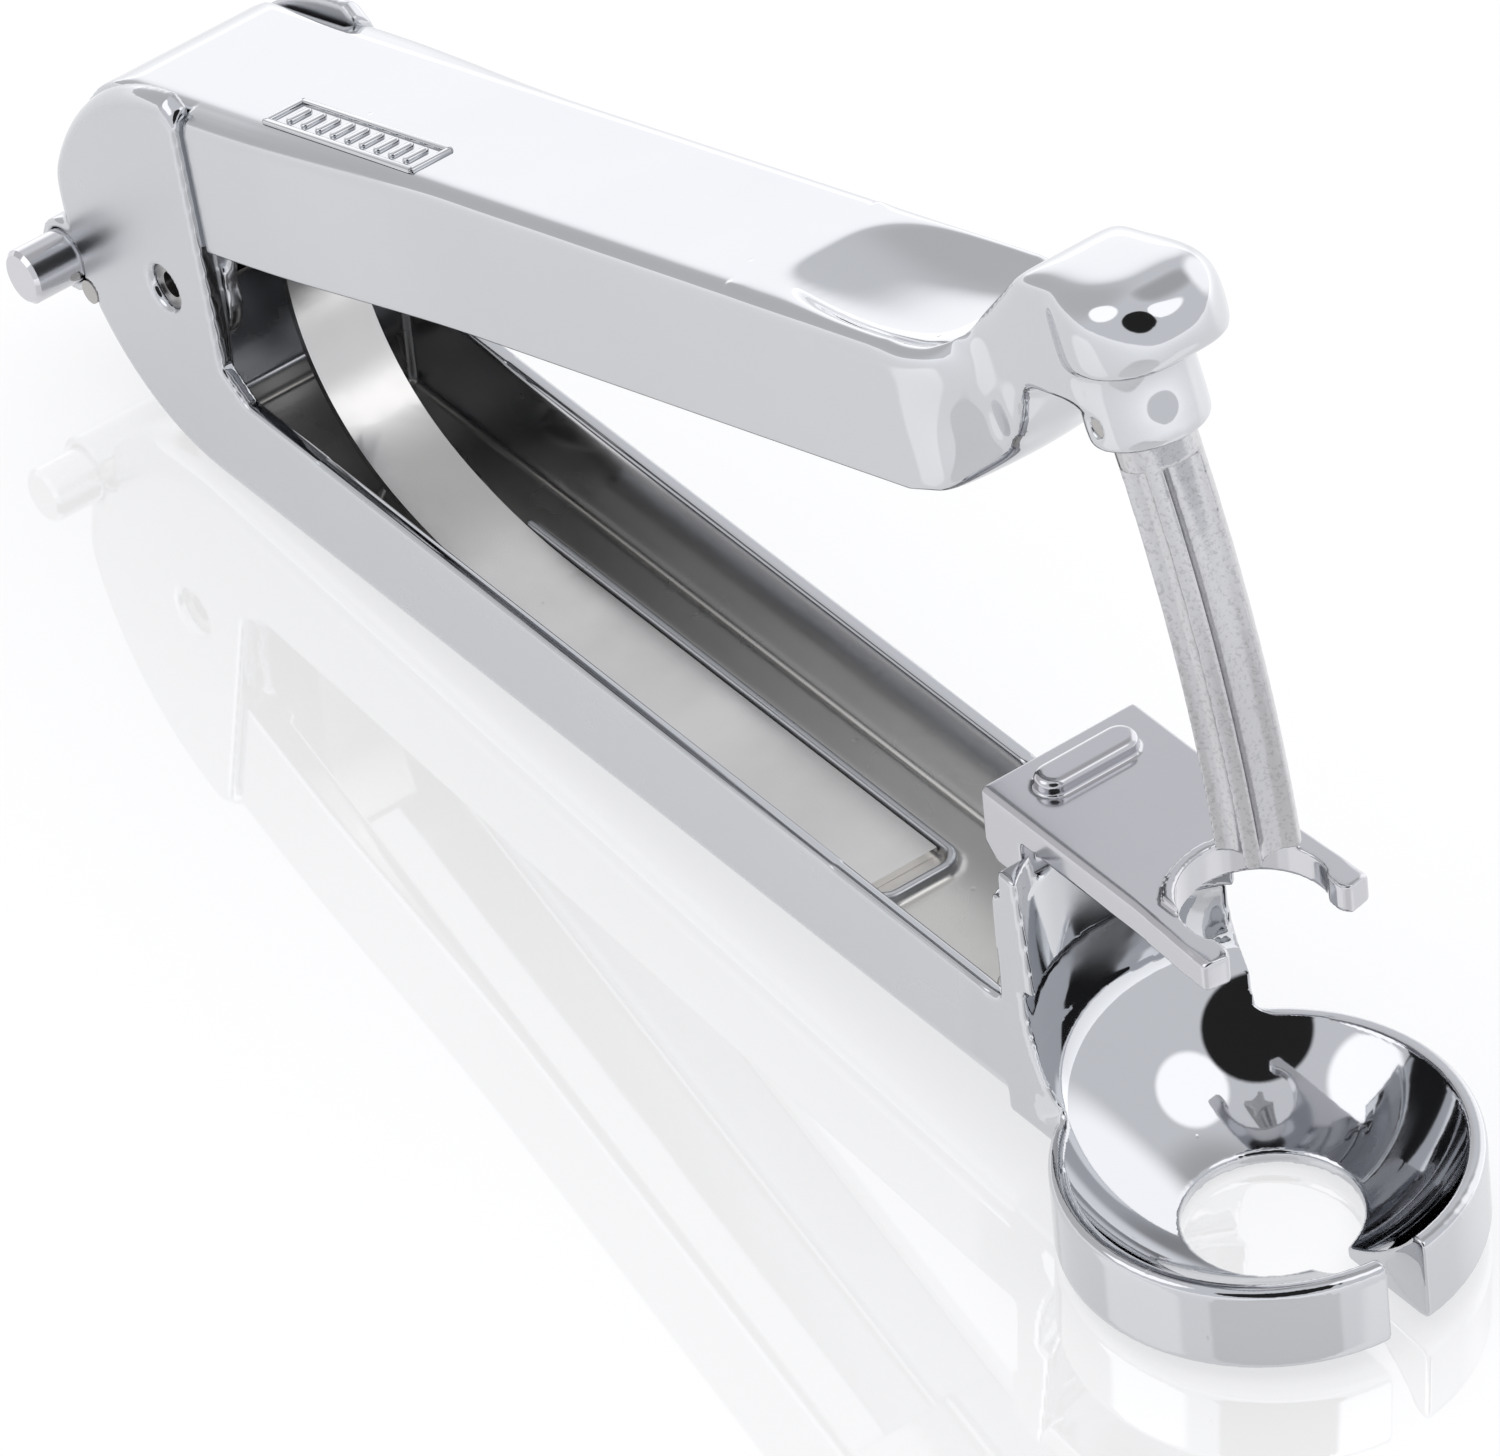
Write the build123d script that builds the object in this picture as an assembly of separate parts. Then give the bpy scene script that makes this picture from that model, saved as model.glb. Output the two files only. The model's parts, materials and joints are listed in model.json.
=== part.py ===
from build123d import *
import os
from math import radians, sin, cos, asin, acos, atan2, degrees, hypot

# Hand-held cherry and olive pitter: two die-cast handles on a roll pin, a fluted punch,
# a slotted cup, a slide-on stripper fork, a leaf return spring and a closing lock.
#
# Sizes in millimetres. Two working frames are used.
# Tool frame: origin at the centre of the cup's pit hole on the cup's underside, +X forward
# away from the handles, +Z up along the cup. Handle frame: origin on the hinge axis, its +X
# along the top handle and its +Z square to it. At the end everything is set down on its
# resting points, with the origin under the middle of the whole tool.

os.makedirs("parts", exist_ok=True)

# Overall sizes.
HINGE_X = -133.0
HINGE_Z = 23.9
HANDLE_W = 21.1
OPEN_ANGLE = 18.4

# Fits and clearances.
RUN_CLEAR = 0.05
SLIDE_GAP = 0.1
SIDE_GAP = 0.35
TAIL_GAP = 0.15

# Bottom handle: a trough with rounded bottom edges, ears at the rear.
TROUGH_WALL = 1.45
FLOOR_T = 1.6
UNDERSIDE_Z = 5.5
RAIL_TOP_Z = 17.0
UNDER_FILLET = 3.4
CREST_FILLET = 1.8
EAR_T = 2.1
EAR_FRONT_X = HINGE_X + 6.6
HEEL_R = 22.2
HEEL_X = HINGE_X + 5.0
CAVITY_R = 14.3
HEEL_WALL_TOP_Z = HINGE_Z - 1.3

# Cup.
CUP_R = 17.6
CUP_H = 8.2
PIT_HOLE_R = 7.4
PIT_LAND = 1.2
BOWL_R = 20.0
SLOT_W = 3.7
EDGE_FILLET = 0.7

# Post behind the cup, with the head that carries the stripper.
POST_FRONT_R = 16.0
POST_LEAN = 6.2
POST_REAR_R = 26.4
POST_BACK_X = -22.4
CHEEK_FRONT_X = -19.2
CHEEK_TOP_Z = 31.2
SHOULDER_Z = 28.2
HEAD_HALF_W = 6.2
HEAD_NECK_HALF_W = 4.7
HEAD_T = 2.2
HEAD_TOP_Z = 32.4

# Stripper fork.
FORK_HALF_W = 7.9
FORK_T = 2.9
FORK_REAR_X = -24.1
FORK_TIP_X = 5.4
FORK_CUT_R = 6.3
FORK_CUT_X = 1.0
LIP_Z = 28.5

# Top handle.
TOP_W = 17.4
TOP_BOTTOM = 4.75
TOP_TOP = 18.2
TOP_WALL = 1.6
DISH_DEPTH = 2.6
DISH_START = 90.0
TOP_BODY_END = 121.8
TOP_BODY_START = 11.0
NOSE_END = 145.7
TOP_EDGE_FILLET = 1.8
LUG_R = 6.0
NOSE_TOP = 26.6
NOSE_W = 13.6
NOSE_CAP_FILLET = 3.6
BOSS_R = 5.0
BOSS_BOTTOM = 11.4

# Punch: a fluted rod bent on an arc about the hinge.
PUNCH_ARC_R = hypot(HINGE_X, HINGE_Z) + 1.0
PUNCH_R = 3.4
PUNCH_TIP_DROP = 26.2
PUNCH_SEAT = 7.0
SHANK_SHOWN = 2.4
FLUTE_R = 2.15
PUNCH_PIN_R = 0.8

# Pins.
HINGE_PIN_R = 2.0
HINGE_PIN_BORE_R = 1.2
HINGE_PIN_RECESS = 0.9
STOP_PIN_R = 1.1
STOP_BITE = 0.41
PIN_WEB = 0.2
LOCK_R = 2.5
LOCK_WAIST_R = 1.5
LOCK_ORBIT = 15.86
LOCK_ANGLE = 19.0
LOCK_OUT = 4.6
LOCK_BOSS_R = 3.4
TONGUE_W = 5.0
TONGUE_T = 2.0

# Leaf spring.
SPRING_W = 7.1
SPRING_T = 0.8
SPRING_FRONT_X = -47.5
SPRING_BEND_X = -96.0
POCKET_LIP = 0.9

FLOOR_TOP_Z = UNDERSIDE_Z + FLOOR_T
HALF_W = HANDLE_W / 2
TROUGH_HALF = HALF_W - TROUGH_WALL
EAR_HALF = HALF_W - EAR_T
REAR_HALF = EAR_HALF - SIDE_GAP
TONGUE_R = LOCK_ORBIT - LOCK_R - TAIL_GAP
STOP_PIN_ORBIT = TONGUE_R + STOP_PIN_R - STOP_BITE
PIN_SPACING = LOCK_R + STOP_PIN_R + PIN_WEB
PINS_COS = (LOCK_ORBIT**2 + STOP_PIN_ORBIT**2 - PIN_SPACING**2) / (2 * LOCK_ORBIT * STOP_PIN_ORBIT)
STOP_ANGLE = LOCK_ANGLE + degrees(acos(PINS_COS))
STOP_REACH = ((STOP_PIN_R + RUN_CLEAR) ** 2 - (STOP_PIN_ORBIT - TONGUE_R) ** 2) ** 0.5
TONGUE_END = STOP_ANGLE - degrees(asin(STOP_REACH / TONGUE_R)) - OPEN_ANGLE
XZ = Plane(origin=(0, 0, 0), x_dir=(1, 0, 0), z_dir=(0, -1, 0))


def across(face, half):
    """Solid from a face drawn in the XZ plane, thickened evenly to both sides."""
    return extrude(face, amount=half, both=True)


def outline(*edges):
    """Face from edges drawn in side view, x forward and y up."""
    return XZ * make_face(Curve() + list(edges))


def side_poly(*pts):
    """Face from side-view corner points."""
    return XZ * make_face(Polyline(*pts, close=True))


def block(x0, x1, y0, y1, z0, z1):
    """Box between two corners."""
    size = Box(x1 - x0, y1 - y0, z1 - z0)
    return Pos((x0 + x1) / 2, (y0 + y1) / 2, (z0 + z1) / 2) * size


def cross_rod(x, z, radius, half):
    """Round bar lying across the tool, along Y."""
    return Pos(x, 0, z) * Rot(90, 0, 0) * Cylinder(radius, 2 * half)


def rear_polar(radius, angle):
    """Point at a radius from the hinge, at an angle below straight back."""
    a = radians(angle)
    return (-radius * cos(a), -radius * sin(a))


def lock_axis():
    """Side-view position of the lock pin."""
    x, z = rear_polar(LOCK_ORBIT, LOCK_ANGLE)
    return HINGE_X + x, HINGE_Z + z


def stop_axis():
    """Side-view position of the opening stop pin."""
    x, z = rear_polar(STOP_PIN_ORBIT, STOP_ANGLE)
    return HINGE_X + x, HINGE_Z + z


def bowl_centre_z():
    """Height of the bowl sphere's centre, so the sphere meets the pit hole's land."""
    return PIT_LAND + (BOWL_R**2 - PIT_HOLE_R**2) ** 0.5


# ------------------------------------------------------------------ bottom handle

def handle_shell():
    """Trough and ears as one side profile, with the underside's long edges rounded."""
    heel_top = (HINGE_X - 16.9, HINGE_Z + 0.2)
    heel_mid_a = radians(222)
    heel_c = (HEEL_X, UNDERSIDE_Z + HEEL_R)
    heel_mid = (heel_c[0] + HEEL_R * cos(heel_mid_a), heel_c[1] + HEEL_R * sin(heel_mid_a))
    crest = (HINGE_X + 2.6, HINGE_Z + 21.4)
    ear_tip = (HINGE_X + 4.1, HINGE_Z + 20.6)
    ear_foot = (HINGE_X + 7.4, RAIL_TOP_Z + 2.4)
    rail_rear = (HINGE_X + 10.6, RAIL_TOP_Z + 0.4)
    front = -12.0
    face = outline(
        Line((front, UNDERSIDE_Z), (HEEL_X, UNDERSIDE_Z)),
        ThreePointArc((HEEL_X, UNDERSIDE_Z), heel_mid, heel_top),
        ThreePointArc(heel_top, (HINGE_X - 11.4, HINGE_Z + 12.2), crest),
        Line(crest, ear_tip),
        Line(ear_tip, ear_foot),
        Line(ear_foot, rail_rear),
        Line(rail_rear, (POST_BACK_X, RAIL_TOP_Z)),
        Line((POST_BACK_X, RAIL_TOP_Z), (front, RAIL_TOP_Z)),
        Line((front, RAIL_TOP_Z), (front, UNDERSIDE_Z)),
    )
    shell = across(face, HALF_W)
    under = shell.edges().filter_by_position(Axis.Z, UNDERSIDE_Z - 0.01, UNDERSIDE_Z + 0.01)
    shell = fillet(under.filter_by(Axis.X), UNDER_FILLET)
    outer = [e for e in shell.edges() if abs(abs(e.center().Y) - HALF_W) < 0.05]
    crests = [e for e in outer if e.center().Z > HINGE_Z + 4 and e.center().X < ear_tip[0] + 1.4]
    return fillet(crests, CREST_FILLET)


def shell_hollow():
    """The trough, and the deeper cavity between the ears that the top handle's tail turns in."""
    trough = block(EAR_FRONT_X, POST_BACK_X + 4, -TROUGH_HALF, TROUGH_HALF, FLOOR_TOP_Z, 60)
    turn = cross_rod(HINGE_X, HINGE_Z, CAVITY_R, EAR_HALF)
    above = block(HINGE_X - 30, EAR_FRONT_X, -EAR_HALF, EAR_HALF, HEEL_WALL_TOP_Z, 60)
    ahead = block(HINGE_X, EAR_FRONT_X, -EAR_HALF, EAR_HALF, FLOOR_TOP_Z, HINGE_Z)
    return trough + turn + above + ahead


def cup():
    """Ring with its bowl, pit hole and front slot still to be cut."""
    ring = Pos(0, 0, CUP_H / 2) * Cylinder(CUP_R, CUP_H)
    return fillet(ring.edges().filter_by(GeomType.CIRCLE), EDGE_FILLET)


def post():
    """Curved post that rises from the back of the cup, flush with the trough's sides."""
    back = Pos(POST_BACK_X + POST_REAR_R, 0, 20) * Cylinder(POST_REAR_R, 60)
    bar = block(POST_BACK_X, -12.0, -HALF_W, HALF_W, UNDERSIDE_Z, HEAD_TOP_Z) & back
    shoulder = block(-40, CHEEK_FRONT_X, -HALF_W, HALF_W, SHOULDER_Z, 60)
    over_cheek = block(CHEEK_FRONT_X, 0, -HALF_W, HALF_W, CHEEK_TOP_Z, 60)
    neck = block(-40, 0, -HEAD_NECK_HALF_W, HEAD_NECK_HALF_W, 0, 60)
    head = block(-40, 0, -HEAD_HALF_W, HEAD_HALF_W, HEAD_TOP_Z - HEAD_T, 60)
    gap_half = HEAD_HALF_W + SLIDE_GAP
    side_gap = block(-40, 0, -gap_half, gap_half, SHOULDER_Z, 60)
    cheeks = bar - shoulder - over_cheek - side_gap
    low = bar & block(-40, 0, -HALF_W, HALF_W, 0, SHOULDER_Z)
    return low + cheeks + (bar & (neck + head))


def front_scoop():
    """Space in front of the post: the bowl below, a leaning round face above it."""
    zc = bowl_centre_z()
    bowl = Pos(0, 0, zc) * Sphere(BOWL_R)
    lean_x = -2.2 - (20 - CUP_H) * sin(radians(POST_LEAN))
    face = Pos(lean_x, 0, 20) * Rot(0, -POST_LEAN, 0) * Cylinder(POST_FRONT_R, 60)
    upper = face & block(-40, 20, -HALF_W - 1, HALF_W + 1, CUP_H, 50)
    bowl_low = bowl & block(-40, 40, -40, 40, -1, zc)
    return upper + bowl_low


def spring_pocket():
    """Low raised rim on the trough floor round the front end of the leaf spring."""
    inner = SPRING_W / 2 + 0.2
    outer = inner + POCKET_LIP
    x0 = HINGE_X + 26
    x1 = SPRING_FRONT_X + 1.9
    big = Pos((x0 + x1 + POCKET_LIP) / 2, 0) * RectangleRounded(x1 + POCKET_LIP - x0, 2 * outer, 2.2)
    small = Pos((x0 + x1) / 2, 0) * RectangleRounded(x1 - x0, 2 * inner, 1.3)
    rear = Pos(x0, 0) * Rectangle(6, 3 * outer)
    rim = Pos(0, 0, FLOOR_TOP_Z - 0.2) * extrude(big - small - rear, amount=SPRING_T + 0.5)
    return rim


def lower_handle():
    lock_x, lock_z = lock_axis()
    stop_x, stop_z = stop_axis()
    body = handle_shell() + cross_rod(lock_x, lock_z, LOCK_BOSS_R, HALF_W)
    body = body - shell_hollow()
    body = body + post() + cup()
    body = body - front_scoop()
    body = body - Pos(0, 0, 2) * Cylinder(PIT_HOLE_R, 10)
    body = body - block(0, CUP_R + 2, -SLOT_W / 2, SLOT_W / 2, -1, CUP_H + 1)
    body = body + spring_pocket()
    body = body - cross_rod(HINGE_X, HINGE_Z, HINGE_PIN_R, HALF_W + 1)
    for side in (-1, 1):
        sink = Pos(HINGE_X, side * (HALF_W - 0.2), HINGE_Z) * Rot(side * -90, 0, 0)
        body = body - sink * Cone(HINGE_PIN_R, HINGE_PIN_R + 0.4, 0.42)
    body = body - cross_rod(lock_x, lock_z, LOCK_R + RUN_CLEAR, HALF_W + 1)
    body = body - cross_rod(stop_x, stop_z, STOP_PIN_R, HALF_W + 1)
    return body


# ------------------------------------------------------------------ top handle (handle frame)

def place_top(shape):
    """From the handle frame to the tool frame, with the tool open."""
    return Pos(HINGE_X, 0, HINGE_Z) * Rot(0, -OPEN_ANGLE, 0) * shape


def top_side_face():
    """Side profile: flat back, nose that rises over the punch, rounded lower front corner."""
    rear_low = rear_polar(TONGUE_R, -15.0)
    nose_rise = TOP_BODY_END - 3.0
    nose_back = NOSE_END - 14.5
    nose_under = NOSE_TOP - 7.6
    neck_under = TOP_BOTTOM + 10.6
    boss_x = PUNCH_ARC_R - 0.4
    face = make_face(
        Curve()
        + [
            ThreePointArc(rear_low, (-10.6, 12.0), (0, TOP_TOP)),
            Polyline(
                (0, TOP_TOP),
                (nose_rise, TOP_TOP),
                (nose_back, NOSE_TOP),
                (NOSE_END, NOSE_TOP),
                (NOSE_END, nose_under),
                (boss_x, nose_under),
                (boss_x, neck_under),
                (TOP_BODY_END + 4.6, neck_under),
                (TOP_BODY_END + 0.4, TOP_BOTTOM),
                (8.0, TOP_BOTTOM),
                (LUG_R, 0),
                (-LUG_R, 0),
                rear_low,
            ),
        ]
    )
    radii = {
        (nose_rise, TOP_TOP): 11.0,
        (nose_back, NOSE_TOP): 7.0,
        (NOSE_END, NOSE_TOP): 4.6,
        (NOSE_END, nose_under): 2.6,
        (TOP_BODY_END + 4.6, neck_under): 3.0,
        (TOP_BODY_END + 0.4, TOP_BOTTOM): 8.0,
    }
    for (px, py), radius in radii.items():
        corner = face.vertices().sort_by_distance((px, py, 0))[0]
        face = fillet(corner, radius)
    return XZ * face


def top_plan():
    """Plan outline: full width between the ears' fronts and the nose, then a round nose."""
    rear = Pos(-10, 0) * Rectangle(60, 2 * REAR_HALF)
    length = TOP_BODY_END - TOP_BODY_START
    main = Pos(TOP_BODY_START + length / 2, 0) * Rectangle(length, TOP_W)
    neck = Pos(TOP_BODY_END + 7, 0) * Rectangle(20, NOSE_W - 2.6)
    nose = Pos(NOSE_END - NOSE_W / 2, 0) * Circle(NOSE_W / 2)
    plan = main + rear
    plan = plan + neck + nose
    front = [v for v in plan.vertices() if abs(v.X - TOP_BODY_END) < 0.01]
    inner = [v for v in front if abs(v.Y) < NOSE_W / 2]
    outer = [v for v in front if abs(v.Y) > NOSE_W / 2]
    plan = fillet(outer, 1.5)
    inner = [v for v in plan.vertices() if abs(v.X - TOP_BODY_END) < 0.01 and abs(v.Y) < NOSE_W / 2]
    plan = fillet(inner, 1.0)
    return plan


def top_section():
    """Long bar whose rounded upper edges trim the handle's back; the nose is left alone."""
    height = 60.0
    centre_w = TOP_TOP - height / 2
    section = Plane(origin=(-30, 0, centre_w), x_dir=(0, 1, 0), z_dir=(1, 0, 0))
    bar = extrude(section * Rectangle(TOP_W, height), amount=200)
    edges = [e for e in bar.edges().filter_by(Axis.X) if e.center().Z > 0]
    bar = fillet(edges, TOP_EDGE_FILLET)
    reach = 20.0
    cap = Pos(NOSE_END - (NOSE_W + reach) / 2, 0) * SlotCenterToCenter(reach, NOSE_W)
    cap = Pos(0, 0, TOP_TOP - 30) * extrude(cap, amount=NOSE_TOP - TOP_TOP + 30)
    cap = fillet(cap.edges().group_by(Axis.Z)[-1], NOSE_CAP_FILLET)
    front = block(TOP_BODY_END - 3.5, 180, -20, 20, TOP_TOP - 30, 60)
    return bar + (cap & front) + block(TOP_BODY_END - 3.5, TOP_BODY_END, -20, 20, TOP_TOP - 30, TOP_TOP - 4)


def thumb_dish():
    """Scoop in the back of the handle, running up into the nose."""
    arc_r = 55.0
    centre_w = TOP_TOP - DISH_DEPTH + arc_r
    roll = Pos(111.0, 0, centre_w) * Rot(90, 0, 0) * Cylinder(arc_r, 12.6)
    dish = roll & block(DISH_START, TOP_BODY_END, -7, 7, TOP_TOP - 4, TOP_TOP + 12)
    rims = dish.edges().filter_by(GeomType.CIRCLE).group_by(Axis.Z)[0]
    return fillet(rims, 2.4)


def punch_sweep(radius, top, low):
    """Round bar bent about the hinge, between two heights in the handle frame."""
    a_top = degrees(asin(top / PUNCH_ARC_R))
    a_low = degrees(asin(low / PUNCH_ARC_R))
    ring = Plane.XY * Pos(PUNCH_ARC_R, 0) * Circle(radius)
    bar = revolve(ring, Axis.Y, a_top - a_low)
    return Rot(0, -a_top, 0) * bar


def upper_handle():
    body = across(top_side_face(), 20) & extrude(top_plan(), amount=40, both=True)
    body = body & top_section()
    body = body + cross_rod(0, 0, LUG_R, REAR_HALF)
    inner = TOP_W / 2 - TOP_WALL
    under_dish = TOP_TOP - DISH_DEPTH - TOP_WALL
    hollow = block(TOP_BODY_START, DISH_START, -inner, inner, -8, TOP_TOP - TOP_WALL)
    hollow = hollow + block(DISH_START - 1, TOP_BODY_END - 7, -inner, inner, -8, under_dish)
    rear_in = REAR_HALF - TOP_WALL
    tail_room = block(-10.5, 12.0, -rear_in, rear_in, -8, TOP_TOP - 4.4)
    body = body - hollow - tail_room
    body = body - thumb_dish()
    boss_x = PUNCH_ARC_R - 0.4
    boss = Pos(boss_x, 0, BOSS_BOTTOM + 6) * Cylinder(BOSS_R, 12)
    body = body + fillet(boss.edges().filter_by(GeomType.CIRCLE).sort_by(Axis.Z)[0], 0.8)
    body = body - punch_sweep(PUNCH_R, BOSS_BOTTOM + PUNCH_SEAT, BOSS_BOTTOM - 4)
    body = body - cross_rod(boss_x, BOSS_BOTTOM + 2.2, PUNCH_PIN_R, BOSS_R + 1)
    body = body + tail_tongue()
    body = body - cross_rod(0, 0, HINGE_PIN_R + RUN_CLEAR, HALF_W)
    return body


def tail_tongue():
    """Narrow tongue behind the hinge: it meets the stop pin when open and turns inside the lock pin."""
    ring = cross_rod(0, 0, TONGUE_R, TONGUE_W / 2) - cross_rod(0, 0, TONGUE_R - TONGUE_T, TONGUE_W)
    reach = 30.0
    low = rear_polar(reach, TONGUE_END)
    high = rear_polar(reach, -24.0)
    wedge = side_poly((0, 0), low, high)
    return ring & across(wedge, TONGUE_W)


def punch():
    """Round shank that runs out into four flutes, all bent on the hinge arc."""
    seat_top = BOSS_BOTTOM + PUNCH_SEAT
    rod = punch_sweep(PUNCH_R, seat_top, -PUNCH_TIP_DROP)
    flute_low = -PUNCH_TIP_DROP - 3
    flute_top = BOSS_BOTTOM - SHANK_SHOWN
    a_top = degrees(asin(flute_top / PUNCH_ARC_R))
    a_low = degrees(asin(flute_low / PUNCH_ARC_R))
    reach = PUNCH_R + 0.55
    for quarter in range(4):
        a = radians(90 * quarter)
        groove = Pos(PUNCH_ARC_R + reach * cos(a), reach * sin(a)) * Circle(FLUTE_R)
        cut = Rot(0, -a_top, 0) * revolve(groove, Axis.Y, a_top - a_low)
        rod = rod - cut
    boss_x = PUNCH_ARC_R - 0.4
    rod = rod - cross_rod(boss_x, BOSS_BOTTOM + 2.2, PUNCH_PIN_R, BOSS_R + 1)
    return rod


def punch_pin():
    boss_x = PUNCH_ARC_R - 0.4
    return cross_rod(boss_x, BOSS_BOTTOM + 2.2, PUNCH_PIN_R, BOSS_R - 0.35)


# ------------------------------------------------------------------ loose parts (tool frame)

def stripper():
    """Fork plate with a thumb rib, and a rear skirt whose lips slide on the post's head."""
    z0 = HEAD_TOP_Z + SLIDE_GAP
    z1 = z0 + FORK_T
    cut_y = (FORK_CUT_R**2 - 4.0) ** 0.5
    plan = make_face(
        Polyline(
            (FORK_REAR_X, -FORK_HALF_W),
            (-5.0, -FORK_HALF_W),
            (FORK_TIP_X - 0.5, -FORK_HALF_W - 0.5),
            (FORK_TIP_X, -FORK_HALF_W + 0.7),
            (FORK_CUT_X + 2.0, -cut_y),
            (FORK_CUT_X + 2.0, cut_y),
            (FORK_TIP_X, FORK_HALF_W - 0.7),
            (FORK_TIP_X - 0.5, FORK_HALF_W + 0.5),
            (-5.0, FORK_HALF_W),
            (FORK_REAR_X, FORK_HALF_W),
            close=True,
        )
    )
    cut = Pos(FORK_CUT_X, 0) * Circle(FORK_CUT_R)
    plate = Pos(0, 0, z0) * extrude(plan - cut, amount=FORK_T)
    long_edges = plate.edges().filter_by_position(Axis.Z, z1 - 0.01, z1 + 0.01)
    long_edges = [e for e in long_edges if e.length > 18 and abs(abs(e.center().Y) - FORK_HALF_W) < 0.1]
    plate = chamfer(long_edges, 0.4)
    bead = Circle(FORK_CUT_R + 1.0) - Circle(FORK_CUT_R)
    bead = (Pos(FORK_CUT_X, 0) * bead) & (Pos(FORK_CUT_X - 6.5, 0) * Rectangle(13, 12))
    plate = plate + Pos(0, 0, z1 - 0.2) * extrude(bead, amount=0.8)
    rib = Pos(-20.4, 0, z1 - 0.2) * extrude(Rot(0, 0, 90) * SlotOverall(9.9, 3.2), amount=1.6)
    rib = fillet(rib.edges().group_by(Axis.Z)[-1], 0.7)
    skirt_front = CHEEK_FRONT_X - SLIDE_GAP
    inner = HEAD_HALF_W + SLIDE_GAP + 0.05
    skirt = block(FORK_REAR_X, skirt_front, -FORK_HALF_W, FORK_HALF_W, LIP_Z, z0 + 0.5)
    skirt = skirt - block(POST_BACK_X - SLIDE_GAP, 0, -inner, inner, LIP_Z + 1.55, z0)
    neck = HEAD_NECK_HALF_W + SLIDE_GAP + 0.1
    skirt = skirt - block(POST_BACK_X - SLIDE_GAP, 0, -neck, neck, 0, z0)
    heel = skirt.edges().filter_by(Axis.Y).sort_by_distance((FORK_REAR_X, 0, LIP_Z))[0]
    skirt = chamfer(heel, 1.5)
    return plate + rib + skirt


def hinge_pin():
    """Slotted roll pin, pressed into the ears and a running fit in the top handle."""
    half = HALF_W - HINGE_PIN_RECESS
    tube = cross_rod(HINGE_X, HINGE_Z, HINGE_PIN_R, half)
    tube = tube - cross_rod(HINGE_X, HINGE_Z, HINGE_PIN_BORE_R, half + 1)
    slit = block(HINGE_X, HINGE_X + 3, -HALF_W, HALF_W, HINGE_Z - 0.35, HINGE_Z + 0.35)
    tube = tube - slit
    return tube


def stop_pin():
    """Plain pin, flush in both ears, that stops the top handle when it is open."""
    x, z = stop_axis()
    return cross_rod(x, z, STOP_PIN_R, HALF_W)


def lock_pin():
    """Sliding pin with a waist that lets the tail's tongue pass while it is pulled out."""
    x, z = lock_axis()
    far = HALF_W - 0.4
    near = -HALF_W - LOCK_OUT
    length = far - near
    bar = Pos(x, (far + near) / 2, z) * Rot(90, 0, 0) * Cylinder(LOCK_R, length)
    bar = chamfer(bar.edges().filter_by(GeomType.CIRCLE), 0.35)
    waist = cross_rod(x, z, LOCK_R + 1, TONGUE_W / 2 + 0.3)
    waist = waist - cross_rod(x, z, LOCK_WAIST_R, HALF_W)
    return bar - waist


def leaf_spring():
    """Flat strip in the floor pocket, curling up to the top handle's ceiling by the hinge."""
    z0 = FLOOR_TOP_Z + SPRING_T / 2 + 0.02
    rise = Spline(
        (SPRING_BEND_X, z0),
        (-108.6, z0 + 1.4),
        (-116.8, z0 + 4.8),
        (-122.6, z0 + 10.8),
        (-125.2, z0 + 18.8),
        (-124.6, z0 + 28.2),
        (-121.4, z0 + 37.3),
        tangents=((-1, 0), (0.5, 0.86)),
    )
    flat = Line((SPRING_FRONT_X, z0), (SPRING_BEND_X, z0))
    path = XZ * (Curve() + [flat, rise])
    start = Plane(origin=(SPRING_FRONT_X, 0, z0), x_dir=(0, 1, 0), z_dir=(-1, 0, 0))
    section = start * Rectangle(SPRING_W, SPRING_T)
    return sweep(section, path=path)


# ------------------------------------------------------------------ assembly

def rest_tilt():
    """Pitch at which the tool stands on the cup's rear edge and the heel."""
    edge_x = -(CUP_R - EDGE_FILLET)
    reach = edge_x - HEEL_X
    rise = UNDERSIDE_Z + HEEL_R
    return degrees(atan2(rise, reach)) - degrees(asin(HEEL_R / hypot(rise, reach)))


nodes = {
    "lower_handle": lower_handle(),
    "upper_handle": place_top(upper_handle()),
    "punch": place_top(punch()),
    "punch_pin": place_top(punch_pin()),
    "stripper": stripper(),
    "hinge_pin": hinge_pin(),
    "stop_pin": stop_pin(),
    "lock_pin": lock_pin(),
    "leaf_spring": leaf_spring(),
}

tilt = Rot(0, -rest_tilt(), 0)
tilted = {name: tilt * shape for name, shape in nodes.items()}
boxes = [shape.bounding_box() for shape in tilted.values()]
rear_x = min(box.min.X for box in boxes)
front_x = max(box.max.X for box in boxes)
base_z = min(box.min.Z for box in boxes)
set_down = Pos(-(rear_x + front_x) / 2, 0, -base_z)

for name, shape in tilted.items():
    placed = set_down * shape
    export_step(placed, f"parts/{name}.step")
    box = placed.bounding_box()
    solids = len(placed.solids())
    print(f"{name:14s} solids {solids} volume {placed.volume:9.1f}", box.min, box.max)

print("tilt", rest_tilt(), "shift", set_down.position)
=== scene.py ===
import json
from math import atan2, cos, hypot, pi, radians, sin, sqrt

import bmesh
import bpy
from mathutils import Matrix, Vector


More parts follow.
